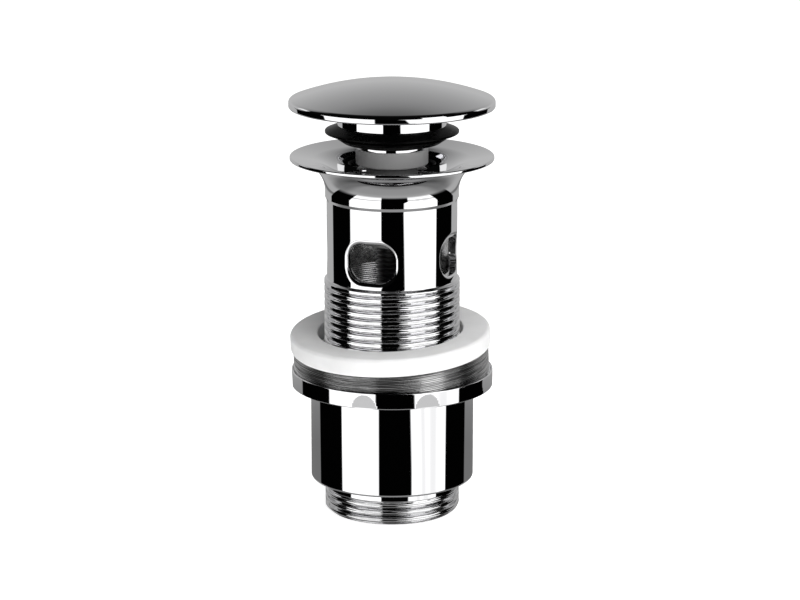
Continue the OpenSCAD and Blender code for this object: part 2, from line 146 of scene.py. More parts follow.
print("profiles: an arc point every", ARC_STEP, "degrees at most")

# %% [markdown]
# ## Closing the sheets and giving them to Blender
# A grid that goes right round meets itself at a seam, and a dome shrinks to a single point at
# its pole. Welding equal points closes both. Polished metal also needs true normals: a normal
# that sums its faces by area stays flat on a flat face, even right beside a tiny rounding.

# %% Weld and normals


def weld(sheets):
    """Joins sheets into one surface. Points that agree to a ten-thousandth of a millimetre become
    one vertex, and a face that has shrunk to three corners becomes a triangle."""
    points = np.concatenate([p for p, _ in sheets])
    starts = np.cumsum([0] + [len(p) for p, _ in sheets])
    faces = np.concatenate([f + s for (_, f), s in zip(sheets, starts)])
    keys = np.round(points * 1e4).astype(np.int64)
    _, first, number = np.unique(keys, axis=0, return_index=True, return_inverse=True)
    faces = number.reshape(-1)[faces]
    doubled = faces == np.roll(faces, -1, axis=1)
    count = doubled.sum(1)
    return points[first], faces[count == 0], faces[count == 1][~doubled[count == 1]].reshape(-1, 3)


def surface_normals(points, quads, triangles):
    """Vertex normal: the sum of the area vectors of the faces round it, made one unit long."""
    total = np.zeros_like(points)
    across = np.cross(points[quads[:, 2]] - points[quads[:, 0]], points[quads[:, 3]] - points[quads[:, 1]])
    edges = points[triangles]
    flat = np.cross(edges[:, 1] - edges[:, 0], edges[:, 2] - edges[:, 0])
    for corners, vectors in ((quads, across), (triangles, flat)):
        np.add.at(total, corners.reshape(-1), np.repeat(vectors, corners.shape[1], axis=0))
    return total / np.linalg.norm(total, axis=1, keepdims=True)


def open_edges(quads, triangles):
    """Number of edges that don't have exactly one face on each side. A closed piece has none."""
    pairs = [np.stack([f, np.roll(f, -1, axis=1)], -1).reshape(-1, 2) for f in (quads, triangles)]
    edges = np.concatenate(pairs)
    turned = np.unique(edges[:, ::-1], axis=0)
    forward, uses = np.unique(edges, axis=0, return_counts=True)
    shared = np.intersect1d(forward @ [1 << 32, 1], turned @ [1 << 32, 1])
    return len(forward) - len(shared) + int((uses > 1).sum())


print("weld: points closer than 0.0001 mm become one")

# %% Make pieces
COLUMNS = 192


def add_piece(name, sheets, body, nodes, adjust=None):
    """Makes a mesh piece from sheets in millimetres, rides it on a body and hides what it replaces."""
    points, quads, triangles = weld(sheets)
    normals = surface_normals(points, quads, triangles)
    if adjust:
        normals = adjust(points, normals)
    mesh = bpy.data.meshes.new(name)
    mesh.from_pydata(points * MM, [], quads.tolist() + triangles.tolist())
    mesh.shade_smooth()
    mesh.normals_split_custom_set_from_vertices(normals)
    piece = bpy.data.objects.new(name, mesh)
    bpy.context.scene.collection.objects.link(piece)
    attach(piece, body)
    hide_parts(*nodes)
    print(name + ":", 2 * len(quads) + len(triangles), "triangles,",
          open_edges(quads, triangles), "open edges")
    return piece


def turned_piece(name, corners, body, closed=True, columns=COLUMNS):
    """A piece that is one profile spun round the axis and stands for the CAD node of its name."""
    r, z = profile(corners, closed)
    return add_piece(name, [sheet(around(r, z, columns))], body, [name])


print("columns round a turned piece:", COLUMNS)

# %% [markdown]
# ## The cap
# The cap is what the user presses: a shallow dome with a straight rim, hollow underneath round
# a solid pad. The dome is part of a sphere, so its profile is an arc about a point far below.
# Its sharp edge is eased by the polishing wheel, and that easing shows as a thin dark line. A
# sphere cut flat could give the dome, but one profile carries dome, rim and hollow together.

# %% Cap
CAP_RADIUS, RIM_HEIGHT = 31.55, 2.4
CAP_LOW, CAP_TOP = heights("plug_cap")
CAP_RIM = CAP_LOW + RIM_HEIGHT
DOME_RISE = CAP_TOP - CAP_RIM
DOME_RADIUS = (CAP_RADIUS**2 + DOME_RISE**2) / (2 * DOME_RISE)
DOME_CENTRE = CAP_TOP - DOME_RADIUS
CAP_WALL = 2.8
PAD_RADIUS, HOLLOW_RADIUS = 17.65, CAP_RADIUS - 2.6
STUD_HOLE, STUD_HOLE_TOP = 3.05, CAP_LOW + 5.05
EASED = 1.2


def sphere_arc(radius, r_from, r_to, count):
    """Points of a sphere about the dome's centre: height is the centre plus the square root of
    radius squared less r squared."""
    r = np.linspace(r_from, r_to, count)
    return [(a, DOME_CENTRE + b) for a, b in zip(r, np.sqrt(radius**2 - r**2))]


hollow = sphere_arc(DOME_RADIUS - CAP_WALL, PAD_RADIUS, HOLLOW_RADIUS, 16)
dome = sphere_arc(DOME_RADIUS, CAP_RADIUS - 1, 0, 44)
cap = turned_piece("plug_cap", [
    (0, STUD_HOLE_TOP), (STUD_HOLE, STUD_HOLE_TOP, 0.1), (STUD_HOLE, CAP_LOW, 0.1),
    (PAD_RADIUS, CAP_LOW, 0.3), (*hollow[0], 0.5), *hollow[1:-1], (*hollow[-1], 0.1),
    (HOLLOW_RADIUS, CAP_LOW, 0.15), (CAP_RADIUS, CAP_LOW, 0.5), (CAP_RADIUS, CAP_RIM, EASED),
    *dome], "plug", closed=False, columns=256)

# %% [markdown]
# ## The plug under the cap
# A chrome boss carries the cap, a black rubber seal hangs under it, and a thin chrome ring holds
# the seal. The seal has a thin lip that closes on the flange and a bead that enters the bore.
# Below them sits the grey sleeve that slides over the cartridge. All four are round, so each is
# one profile, and their levels are read from the solids, which keeps them seated on each other.

# %% Boss, seal, retainer and sleeve
NECK_RADIUS, NECK_HOLE = 9.6, 9.65
BOSS_LOW, BOSS_RADIUS = heights("plug_boss")[0], 16.65
SEAL_LOW, SEAL_LIP = heights("plug_seal")[0], BOSS_LOW - 2.1
SEAL_FOOT, SEAL_BEAD, SEAL_GROOVE = 14.8, 16.9, 16.1
LIP_RADIUS, LIP_THICK = 20.5, 0.6
RETAINER_LOW = heights("seal_retainer")[0]
RETAINER_RADIUS, RETAINER_NECK = 11.15, 10.6
SLEEVE_LOW, NECK_TOP = heights("plunger_sleeve")
SLEEVE_RADIUS, SLEEVE_BORE, SLEEVE_ROOF = 11.1, 8.2, NECK_TOP - 2
GRIT_LOW, GRIT_HIGH = heights("grit_ring")
GROOVE_LOW, GROOVE_HIGH, GROOVE_RADIUS = GRIT_LOW - 0.05, GRIT_HIGH + 0.05, 9.61

boss = turned_piece("plug_boss", [
    (NECK_HOLE, BOSS_LOW, 0.15), (BOSS_RADIUS, BOSS_LOW, 0.35), (BOSS_RADIUS, CAP_LOW, 0.2),
    (STUD_HOLE, CAP_LOW, 0.15), (STUD_HOLE, NECK_TOP, 0.15), (NECK_HOLE, NECK_TOP, 0.15)],
    "plug")
seal = turned_piece("plug_seal", [
    (NECK_HOLE, SEAL_LOW, 0.1), (SEAL_FOOT, SEAL_LOW, 0.8), (SEAL_BEAD, SEAL_LOW + 1.4, 0.3),
    (SEAL_BEAD, SEAL_LOW + 1.8, 0.15), (SEAL_GROOVE, SEAL_LOW + 2.6, 0.25),
    (LIP_RADIUS, SEAL_LIP, 0.22), (LIP_RADIUS, SEAL_LIP + LIP_THICK, 0.22),
    (BOSS_RADIUS, BOSS_LOW, 0.4), (NECK_HOLE, BOSS_LOW, 0.1)], "plug")
retainer = turned_piece("seal_retainer", [
    (NECK_HOLE, RETAINER_LOW, 0.1), (RETAINER_RADIUS, RETAINER_LOW, 0.1),
    (RETAINER_RADIUS - 0.03, RETAINER_LOW + 0.8, 0.05), (RETAINER_NECK, SEAL_LOW),
    (NECK_HOLE, SEAL_LOW, 0.1)], "plug")
sleeve = turned_piece("plunger_sleeve", [
    (SLEEVE_BORE, SLEEVE_LOW, 0.3), (SLEEVE_RADIUS, SLEEVE_LOW, 0.55),
    (SLEEVE_RADIUS, RETAINER_LOW, 0.25), (NECK_RADIUS, RETAINER_LOW, 0.1),
    (NECK_RADIUS, NECK_TOP, 0.3), (STUD_HOLE, NECK_TOP, 0.1), (STUD_HOLE, SLEEVE_ROOF, 0.1),
    (SLEEVE_BORE, SLEEVE_ROOF, 0.2), (SLEEVE_BORE, GROOVE_HIGH, 0.1),
    (GROOVE_RADIUS, GROOVE_HIGH, 0.1), (GROOVE_RADIUS, GROOVE_LOW, 0.1),
    (SLEEVE_BORE, GROOVE_LOW, 0.1)], "plug")

# %% [markdown]
# ## The cartridge
# The barrel holds the latching mechanism and screws onto the anchor stud. Its section shows the
# stud's hole, the plunger's bore, the room for the index ring and the snap ring's groove. Cuts in
# a tube could give these steps one by one, but a closed profile gives them all at once.

# %% Barrel and lock washer
BARREL_RADIUS, STUD_BORE, PLUNGER_ROOM = 7.9, 5.05, 5.35
RING_ROOM, SNAP_GROOVE = 6.6, 7.1
BARREL_LOW, BARREL_TOP = heights("cartridge_barrel")
STUD_LOW, STUD_TOP = heights("anchor_stud")
RING_SEAT = heights("index_ring")[0] - 0.15
SNAP_LOW, SNAP_HIGH = heights("snap_ring")
barrel = turned_piece("cartridge_barrel", [
    (STUD_BORE, BARREL_LOW, 0.2), (BARREL_RADIUS, BARREL_LOW, 0.5), (BARREL_RADIUS, BARREL_TOP, 0.4),
    (RING_ROOM, BARREL_TOP, 0.2), (RING_ROOM, SNAP_HIGH, 0.05), (SNAP_GROOVE, SNAP_HIGH, 0.05),
    (SNAP_GROOVE, SNAP_LOW, 0.05), (RING_ROOM, SNAP_LOW, 0.05), (RING_ROOM, RING_SEAT, 0.05),
    (PLUNGER_ROOM, RING_SEAT, 0.05), (PLUNGER_ROOM, STUD_TOP, 0.05), (STUD_BORE, STUD_TOP, 0.05)],
    "waste")
WASHER_LOW, WASHER_HIGH = heights("lock_washer")
LOCK_INNER, LOCK_OUTER, LOCK_EDGE = 5.2, 8.0, 0.15
washer = turned_piece("lock_washer", [
    (LOCK_INNER, WASHER_LOW, LOCK_EDGE), (LOCK_OUTER, WASHER_LOW, LOCK_EDGE),
    (LOCK_OUTER, WASHER_HIGH, LOCK_EDGE), (LOCK_INNER, WASHER_HIGH, LOCK_EDGE)],
    "waste")

# %% [markdown]
# ## Threads
# A screw thread is a profile that climbs by one pitch in each turn. On the grid of a turned piece
# that is only a change of radius: a wave along the height, shifted by the angle round the axis.
# A rolled stud is very close to a plain cosine wave. The pipe thread's crests are cut flat, so
# its wave only starts to count where it is deeper than the flat. The Screw modifier could wind a
# profile too, but a wave can also fade out, as a thread does where the cutter leaves the metal.

# %% Thread helper and anchor stud
PIPE_PITCH, PIPE_DEPTH = 2.309, 1.479
STUD_RADIUS, STUD_PITCH, STUD_DEPTH, STUD_COLUMNS = 5.0, 1.5, 0.92, 96


def thread_cut(z, columns, pitch, start=0.0):
    """Depth of a right-hand thread from 0 at a crest to 1 at a root: half of one minus the cosine
    of the turns, where the turns are height over pitch less the share of the way round."""
    share = start / 360 + np.linspace(0, 1, columns + 1)
    return 0.5 - 0.5 * np.cos(2 * np.pi * (z / pitch - share))


def flat_crested(wave, flat=0.64):
    """The same wave with its crests cut off flat: what is shallower than the flat becomes 0, and
    the rest is stretched so that a root is still 1."""
    return np.maximum(0, (wave - flat) / (1 - flat))


def fade(z, low, high):
    """Smooth ramp from 0 at low to 1 at high: three t squared less two t cubed."""
    t = np.clip((z - low) / (high - low), 0, 1)
    return t * t * (3 - 2 * t)


stud_z = np.linspace(STUD_LOW, STUD_TOP, 1 + int((STUD_TOP - STUD_LOW) / STUD_PITCH * 12))[:, None]
lead = STUD_RADIUS - 0.9 + np.minimum(stud_z - STUD_LOW, STUD_TOP - stud_z)
stud_r = np.minimum(STUD_RADIUS - STUD_DEPTH * thread_cut(stud_z, STUD_COLUMNS, STUD_PITCH), lead)
centre = np.zeros((1, STUD_COLUMNS + 1))
stud = add_piece("anchor_stud", [sheet(around(
    np.concatenate([centre, stud_r, centre]),
    np.concatenate([stud_z[:1], stud_z, stud_z[-1:]]), STUD_COLUMNS))],
    "waste", ["anchor_stud"])

# %% [markdown]
# ## The lock nut
# A nut is a hexagon whose corners are cut back by a cone at both ends. A six-sided cylinder and a
# Boolean cone could make it. On the grid no cut is needed, because the radius is simply the smaller
# of two: the flat's distance over the cosine of the angle from the middle of the flat, and the
# cone's radius at that height.

# %% Lock nut
NUT_LOW, NUT_HIGH = heights("lock_nut")
NUT_FLATS, NUT_CONE, NUT_LEAD = 16.0, 1.0, 0.4
nut_angle = np.linspace(0, 2 * np.pi, COLUMNS + 1)
hexagon = NUT_FLATS / 2 / np.cos((nut_angle % (np.pi / 3)) - np.pi / 6)
nut_z = np.concatenate([np.linspace(NUT_LOW, NUT_LOW + NUT_CONE, 12),
                        np.linspace(NUT_HIGH - NUT_CONE, NUT_HIGH, 12)])[:, None]
cone = NUT_FLATS / 2 - 0.25 + 1.6 * np.minimum(nut_z - NUT_LOW, NUT_HIGH - nut_z)
nut_r = np.minimum(hexagon, cone)
hole = np.full((1, COLUMNS + 1), STUD_BORE)
nut = add_piece("lock_nut", [sheet(around(
    np.concatenate([hole, hole + NUT_LEAD, nut_r, hole + NUT_LEAD, hole, hole]),
    np.concatenate([[[NUT_LOW + NUT_LEAD], [NUT_LOW]], nut_z,
                    [[NUT_HIGH], [NUT_HIGH - NUT_LEAD], [NUT_LOW + NUT_LEAD]]]), COLUMNS))],
    "waste", ["lock_nut"])

# %% [markdown]
# ## The body's lower half
# The body is a tube with a pipe thread on its lower half, where the bell screws on, and a plain
# upper half with the overflow slots. The lower sheet starts inside the bore, runs down to the
# end of the tube and comes back up over the thread, which runs out under the slots. The body is
# made of such sheets with shared borders, so that each one gets the grid that suits it.

# %% Body thread
BORE, TUBE, THREAD = 17.5, 20.1, 20.955
TUBE_LOW, THREAD_TOP = 32.9, 73.9
SLOT_AXIS = -109.5
BODY_START = SLOT_AXIS - 45
PATCH_LOW, PATCH_HIGH = 74.1, 92.0

thread_z = np.arange(TUBE_LOW + 0.3, PATCH_LOW - 0.15, PIPE_PITCH / 16)[:, None]
crest = np.interp(thread_z, [TUBE_LOW, TUBE_LOW + 1, THREAD_TOP - 0.4, THREAD_TOP],
                  [THREAD - 1, THREAD, THREAD, TUBE])
cut = flat_crested(thread_cut(thread_z, COLUMNS, PIPE_PITCH, BODY_START)) * PIPE_DEPTH
cut = cut * (1 - fade(thread_z, THREAD_TOP - 1.6, THREAD_TOP - 0.6))
lead_in = np.interp(thread_z, [TUBE_LOW, TUBE_LOW + 2], [THREAD - 1.2, THREAD + 0.8])
thread_r = np.minimum(np.minimum(THREAD, lead_in) - cut, crest)
ring = np.ones((1, COLUMNS + 1))
low_r, low_z = profile([(BORE, PATCH_LOW), (BORE, TUBE_LOW, 0.3),
                        (THREAD - 2, TUBE_LOW)], closed=False)
lower_sheet = sheet(around(
    np.concatenate([low_r * ring, thread_r, TUBE * ring]),
    np.concatenate([low_z * ring, thread_z * ring, PATCH_LOW * ring]), COLUMNS, BODY_START))
print("body thread:", round((THREAD_TOP - TUBE_LOW) / PIPE_PITCH, 1), "turns")

# %% [markdown]
# ## The flange
# Above the slots a small step leads to a collar, and the collar flares out in a quarter circle to
# the flange's thin lip. From the lip the top falls gently inwards, then rounds over like the
# mouth of a trumpet and drops into the bore. A bevel could round these corners, but the arcs are
# worked out point by point, because polished chrome shows every facet.

# %% Flange
COLLAR, FLARE, FLANGE, LIP = 20.55, 9.7, 31.3, 1.1
STEP_LOW, COLLAR_LOW, FLARE_LOW = 98.5, 99.4, 101.2
LIP_LOW = FLARE_LOW + FLARE
FLANGE_TOP = LIP_LOW + LIP
LIP_X, TRUMPET, DISH_SLOPE = FLANGE - LIP / 2, 9.0, math.radians(11.5)
TRUMPET_X = BORE + TRUMPET
TRUMPET_Z = FLANGE_TOP - (LIP_X - TRUMPET_X) * math.tan(DISH_SLOPE) - TRUMPET / math.cos(DISH_SLOPE)

swing = np.linspace(0, np.pi / 2, 40)[1:-1]
flare = np.stack([COLLAR + FLARE * (1 - np.cos(swing)), FLARE_LOW + FLARE * np.sin(swing)], 1)
swing = np.linspace(DISH_SLOPE, np.pi / 2, 48)
trumpet = np.stack([TRUMPET_X - TRUMPET * np.sin(swing), TRUMPET_Z + TRUMPET * np.cos(swing)], 1)
upper_r, upper_z = profile([
    (TUBE, PATCH_HIGH), (TUBE, STEP_LOW, 0.12), (COLLAR, COLLAR_LOW, 0.2), (COLLAR, FLARE_LOW),
    *map(tuple, flare), (COLLAR + FLARE, LIP_LOW), (FLANGE, LIP_LOW, 0.3),
    (FLANGE, FLANGE_TOP, 0.3), (LIP_X, FLANGE_TOP, 1.2), *map(tuple, trumpet),
    (BORE, PATCH_HIGH)], closed=False)
upper_sheet = sheet(around(upper_r, upper_z, COLUMNS, BODY_START))
print("flange:", len(upper_r), "points in its profile")

# %% [markdown]
# ## The overflow slots
# A slot could be cut with a Boolean, but polished metal shows every stray triangle. So a quarter
# of the tube becomes a sheet of rings: the first ring is the quarter's own border, the next ones
# close in on the slot, roll over its polished lip, pass through the wall and spread out again on
# the inside. The lip's rolling edge bends the reflections round the slot.

# %% Slot outline
SLOT_HALF_W, SLOT_HALF_H, SLOT_CORNER = 7.7, 6.0, 5.0
SLOT_Z = 82.2


def slot_outline(direction):
    """Where a ray from the slot's centre meets the rounded window, and the outward normal there.
    On a side the ray stops at the side; in a corner it solves the corner circle."""
    c, s = np.abs(np.cos(direction)), np.abs(np.sin(direction))
    t = np.minimum(SLOT_HALF_W / np.maximum(c, 1e-9), SLOT_HALF_H / np.maximum(s, 1e-9))
    cx, cz = SLOT_HALF_W - SLOT_CORNER, SLOT_HALF_H - SLOT_CORNER
    along = c * cx + s * cz
    reach = along + np.sqrt(np.maximum(along**2 - cx**2 - cz**2 + SLOT_CORNER**2, 0))
    corner = (t * c > cx) & (t * s > cz)
    x, z = np.where(corner, reach, t) * c, np.where(corner, reach, t) * s
    nx = np.where(corner, x - cx, x >= SLOT_HALF_W - 1e-6)
    nz = np.where(corner, z - cz, z >= SLOT_HALF_H - 1e-6)
    length = np.hypot(nx, nz)
    side, up = np.sign(np.cos(direction)), np.sign(np.sin(direction))
    return x * side, z * up, nx / length * side, nz / length * up


print("slot:", 2 * SLOT_HALF_W, "by", 2 * SLOT_HALF_H, "mm")

# %% Slot rings and body
ROLL_WIDTH, ROLL_DEPTH = 1.7, 0.5
SIDE_STEPS, RING_STEPS = 24, 12


def slot_quarter(turn):
    """Sheet of rings round one slot. Each ring is a closed row of points, given by the sideways
    distance, the height and the radius; sideways over radius is the sine of the angle."""
    steps = COLUMNS // 4
    across = np.radians(np.linspace(-45, 45, steps + 1))
    up = np.linspace(PATCH_LOW, PATCH_HIGH, SIDE_STEPS + 1)
    angle = np.concatenate([across[:-1], np.full(SIDE_STEPS, across[-1]),
                            across[:0:-1], np.full(SIDE_STEPS + 1, across[0])])
    height = np.concatenate([np.full(steps, PATCH_LOW), up[:-1],
                             np.full(steps, PATCH_HIGH), up[::-1]])
    x, z, nx, nz = slot_outline(np.arctan2(height - SLOT_Z, TUBE * angle))
    roll = np.linspace(np.pi / 2, 0, RING_STEPS)[:, None]
    out = ROLL_WIDTH * (1 - np.cos(roll))
    rolled_x, rolled_z = x + nx * out, z + nz * out + SLOT_Z
    rolled_r = TUBE - ROLL_DEPTH * (1 - np.sin(roll)) + 0 * rolled_x
    rolled_angle = np.arcsin(rolled_x / rolled_r)
    spread = np.linspace(0, 1, RING_STEPS)[:-1, None] ** 0.8
    outer_angle = angle + spread * (rolled_angle[0] - angle)
    outer_z = height + spread * (rolled_z[0] - height)
    wall_r = np.linspace(rolled_r[-1, 0], BORE, 5)[1:, None] + 0 * x
    share = 1 - spread[::-1]
    edge_angle = np.arcsin(x / BORE)
    inner_angle = edge_angle + share * (angle - edge_angle)
    inner_z = z + SLOT_Z + share * (height - z - SLOT_Z)
    a = np.concatenate([outer_angle, rolled_angle, np.arcsin(x / wall_r), inner_angle[1:]])
    r = np.concatenate([TUBE + 0 * outer_z, rolled_r, wall_r, BORE + 0 * inner_z[1:]])
    h = np.concatenate([outer_z, rolled_z, z + SLOT_Z + 0 * wall_r, inner_z[1:]])
    a = a + np.radians(SLOT_AXIS + turn)
    return sheet(np.stack([r * np.cos(a), r * np.sin(a), h], -1))


def true_tube_normals(points, normals):
    """On the plain tube the normal is known exactly: it points straight out from the axis."""
    r = np.hypot(points[:, 0], points[:, 1])
    plain = (np.abs(r - TUBE) < 1e-6) & (points[:, 2] > PATCH_LOW) & (points[:, 2] < PATCH_HIGH + 1)
    exact = points * [1, 1, 0] / r[:, None]
    return np.where(plain[:, None], exact, normals)


quarters = [slot_quarter(turn) for turn in (0, 90, 180, 270)]
body = add_piece("waste_body", [lower_sheet, upper_sheet] + quarters,
                 "waste", ["waste_body"], true_tube_normals)

# %% [markdown]
# ## The cross bar
# Inside the body a hub on three arms carries the anchor stud. It is cast with the body, so its
# corners are soft. The hub is a spun ring, and each arm is a rounded rectangle that is carried
# straight out from the hub into the wall. A Boolean could join them, but it is enough that they
# reach into each other.

# %% Cross bar
HUB_LOW, HUB_HIGH, HUB_RADIUS, ARM_WIDTH = 59.4, 67.4, 8.5, 4.5


def arm(turn):
    """A rounded rectangle, as a superellipse of power eight, carried along a radius. Its two ends
    shrink to a point, hidden in the hub and in the wall."""
    t = np.linspace(0, 2 * np.pi, 49)
    wide = ARM_WIDTH / 2 * np.sign(np.cos(t)) * np.abs(np.cos(t)) ** 0.25
    tall = (HUB_HIGH - HUB_LOW) / 2 * np.sign(np.sin(t)) * np.abs(np.sin(t)) ** 0.25
    reach = np.array([7.2, 7.2, 12.0, BORE + 0.2, BORE + 0.2])[:, None]
    size = np.array([0, 1, 1, 1, 0])[:, None]
    x, y = reach + 0 * wide, wide * size
    z = (HUB_LOW + HUB_HIGH) / 2 + tall * size
    a = np.radians(turn)
    return sheet(np.stack([x * np.cos(a) - y * np.sin(a), x * np.sin(a) + y * np.cos(a), z], -1))


hub_r, hub_z = profile([(STUD_BORE, HUB_LOW, 0.3), (HUB_RADIUS, HUB_LOW, 0.8),
                        (HUB_RADIUS, HUB_HIGH, 0.8), (STUD_BORE, HUB_HIGH, 0.3)])
hub = sheet(around(hub_r, hub_z, COLUMNS // 2))
cross_bar = add_piece("cross_bar", [hub] + [arm(turn) for turn in (90, 210, 330)],
                      "waste", ["waste_body"])

# %% [markdown]
# ## The loose washers
# A thick turned ring lies loose in a recess of the bell's flange, and the white sealing washer
# lies on it. Both lean the same way. Turning the objects would do, but a finished piece stays
# unturned at the origin, so they are spun flat and then leaned as a pair, point by point.

# %% Washers
LEAN, LEAN_DIRECTION = math.radians(4), math.radians(58)
RECESS_FLOOR, RECESS_TOP, RECESS_RADIUS = 41.8, 45.0, 30.75
SLIP_RADIUS, SLIP_THICK, SLIP_REST = 30.3, 8.0, 0.07
SEAL_RADIUS, SEAL_THICK = 31.05, 5.7
LEAN_SHIFT = (RECESS_RADIUS - SLIP_REST - SLIP_RADIUS * math.cos(LEAN)
              - (RECESS_TOP - RECESS_FLOOR) * math.tan(LEAN))
WASHER_HOLE = 22.505
LINE_PITCH, LINE_DEPTH = 0.52, 0.05


def leaned(points, lift):
    """Turns a flat washer about Y by the lean, raises it along its own axis by lift, lets it rest
    on its low edge, and turns the high side to its direction."""
    c, s = math.cos(LEAN), math.sin(LEAN)
    x, y, z = np.moveaxis(points, -1, 0)
    x, z = x * c - (z + lift) * s - LEAN_SHIFT, x * s + (z + lift) * c + RECESS_FLOOR + SLIP_RADIUS * s
    c, s = math.cos(LEAN_DIRECTION), math.sin(LEAN_DIRECTION)
    return np.stack([x * c - y * s, x * s + y * c, z], -1)


seal_r, seal_z = profile([(WASHER_HOLE, 0, 0.4), (SEAL_RADIUS, 0, 1.2), (SEAL_RADIUS, SEAL_THICK, 1.2),
                          (WASHER_HOLE, SEAL_THICK, 0.5)])
basin_seal = add_piece("basin_seal", [sheet(leaned(around(seal_r, seal_z, COLUMNS), SLIP_THICK))],
                       "washers", ["basin_seal"])
slip_r, slip_z = profile([(WASHER_HOLE, 0, 0.15), (SLIP_RADIUS, 0, 0.25), *[
    (SLIP_RADIUS, h) for h in np.arange(0.4, SLIP_THICK - 0.35, LINE_PITCH / 8)],
    (SLIP_RADIUS, SLIP_THICK, 0.25), (WASHER_HOLE, SLIP_THICK, 0.15)])
fade_out = 1 - fade(slip_z, SLIP_THICK - 0.6, SLIP_THICK - 0.3)
on_side = (slip_r > SLIP_RADIUS - 0.01) * fade(slip_z, 0.3, 0.6) * fade_out
slip_r = slip_r - on_side * LINE_DEPTH * (0.5 - 0.5 * np.cos(2 * np.pi * slip_z / LINE_PITCH))
slip = add_piece("slip_washer", [sheet(leaned(around(slip_r, slip_z, COLUMNS), 0))],
                 "washers", ["slip_washer"])

# %% [markdown]
# ## The tail bell
# The bell clamps the washers against the basin, and its threaded tail takes the trap. Its flange
# has ten shallow spanner flats, deepest at the lower edge, that run out upwards in a half round.
# On a flat the radius is its distance over the cosine of the angle from the flat's middle. Boolean
# cuts so shallow leave ragged edges, and here the smaller of two radii makes the same shape.

# %% Tail thread
BELL_COLUMNS = 480
OUTLET, BELL_RADIUS, BELL_FLANGE = 17.0, 25.3, 31.25
TAIL_TOP, BELL_FLOOR, BELL_FLANGE_LOW = 10.3, 14.1, 40.0

tail_z = np.arange(0.25, TAIL_TOP - 2.2, PIPE_PITCH / 16)[:, None]
tail_lead = THREAD - 1.1 + tail_z
tail_cut = PIPE_DEPTH * flat_crested(thread_cut(tail_z, BELL_COLUMNS, PIPE_PITCH))
tail_cut = tail_cut * (1 - fade(tail_z, TAIL_TOP - 3.6, TAIL_TOP - 2.7))
tail_r = np.minimum(THREAD - tail_cut, tail_lead)
print("tail thread:", round((TAIL_TOP - 2.2) / PIPE_PITCH, 1), "turns")

# %% Spanner flats
FLATS, FLAT_TURN, FLAT_DEPTH, FLAT_HEIGHT = 10, 20.1, 0.24, 4.4
FLANGE_EDGE = 0.25


def from_flat(degrees):
    """Angle in radians from the middle of the nearest flat. The flats stand a tenth of a turn apart."""
    step = 360 / FLATS
    return np.radians((degrees + 90 - FLAT_TURN + step / 2) % step - step / 2)


def flat_distance(up):
    """How far a flat lies from the axis at a height above its lower edge: the flange's radius less
    the flat's depth, which shrinks by the square of the height's share."""
    return BELL_FLANGE - FLAT_DEPTH * (1 - (up / FLAT_HEIGHT) ** 2)


def flat_normals(points, normals):
    """Between the flats the normal points straight out. A whole flat gets its mean lean, which is its
    depth over its height, so that it shines evenly right up to its edge."""
    phi = np.arctan2(points[:, 1], points[:, 0])
    off = from_flat(np.degrees(phi))
    up = points[:, 2] - BELL_FLANGE_LOW
    flat = flat_distance(up) / np.cos(off) < BELL_FLANGE - 1e-6
    toward = phi - off * flat
    exact = np.stack([np.cos(toward), np.sin(toward), flat * -FLAT_DEPTH / FLAT_HEIGHT], 1)
    exact = exact / np.linalg.norm(exact, axis=1, keepdims=True)
    side = (up > 0.26) & (up < 4.5) & (np.hypot(points[:, 0], points[:, 1]) > BELL_FLANGE - 0.3)
    return np.where(side[:, None], exact, normals)


edge_up = FLANGE_EDGE * (1 - np.cos(np.linspace(0, np.pi / 2, 5)))
flange_up = np.concatenate([edge_up, np.linspace(0.3, FLAT_HEIGHT, 24)])[:, None]
lower_edge = BELL_FLANGE - FLANGE_EDGE + FLANGE_EDGE * np.sin(np.arccos(np.clip(
    1 - flange_up / FLANGE_EDGE, 0, 1)))
flat_angle = from_flat(np.linspace(0, 360, BELL_COLUMNS + 1))
flange_r = np.minimum(lower_edge, flat_distance(flange_up) / np.cos(flat_angle))
flange_z = BELL_FLANGE_LOW + flange_up
print("spanner flats:", FLATS, "flats,", FLAT_DEPTH, "mm deep")

# %% Bell
RELIEF_RADIUS, MOUTH_RADIUS, MOUTH_LOW = 21.655, 21.005, RECESS_FLOOR - 13.5
OUTLET_JOIN = 4
ring = np.ones((1, BELL_COLUMNS + 1))
foot_r, foot_z = profile([(OUTLET, OUTLET_JOIN), (OUTLET, 0, 0.3), (THREAD - 1.2, 0)], closed=False)
waist_r, waist_z = profile([
    (THREAD, TAIL_TOP - 2.1), (THREAD, TAIL_TOP, 0.15), (BELL_RADIUS, TAIL_TOP, 0.8),
    (BELL_RADIUS, BELL_FLANGE_LOW, 0.15), (BELL_FLANGE - 0.3, BELL_FLANGE_LOW)], closed=False)
mouth_r, mouth_z = profile([
    (BELL_FLANGE, RECESS_TOP - 0.5), (BELL_FLANGE, RECESS_TOP, 0.25), (RECESS_RADIUS, RECESS_TOP, 0.12),
    (RECESS_RADIUS, RECESS_FLOOR, 0.15), (MOUTH_RADIUS, RECESS_FLOOR, 0.5), (MOUTH_RADIUS, MOUTH_LOW, 0.2),
    (RELIEF_RADIUS, MOUTH_LOW, 0.2), (RELIEF_RADIUS, BELL_FLOOR, 0.5), (OUTLET, BELL_FLOOR, 0.5),
    (OUTLET, OUTLET_JOIN)], closed=False)
bell_r = [foot_r * ring, tail_r, waist_r * ring, flange_r, mouth_r * ring]
bell_z = [foot_z * ring, tail_z * ring, waist_z * ring, flange_z * ring, mouth_z * ring]
bell = add_piece("tail_bell", [sheet(around(np.concatenate(bell_r), np.concatenate(bell_z), BELL_COLUMNS))],
                 "bell", ["tail_bell"], flat_normals)

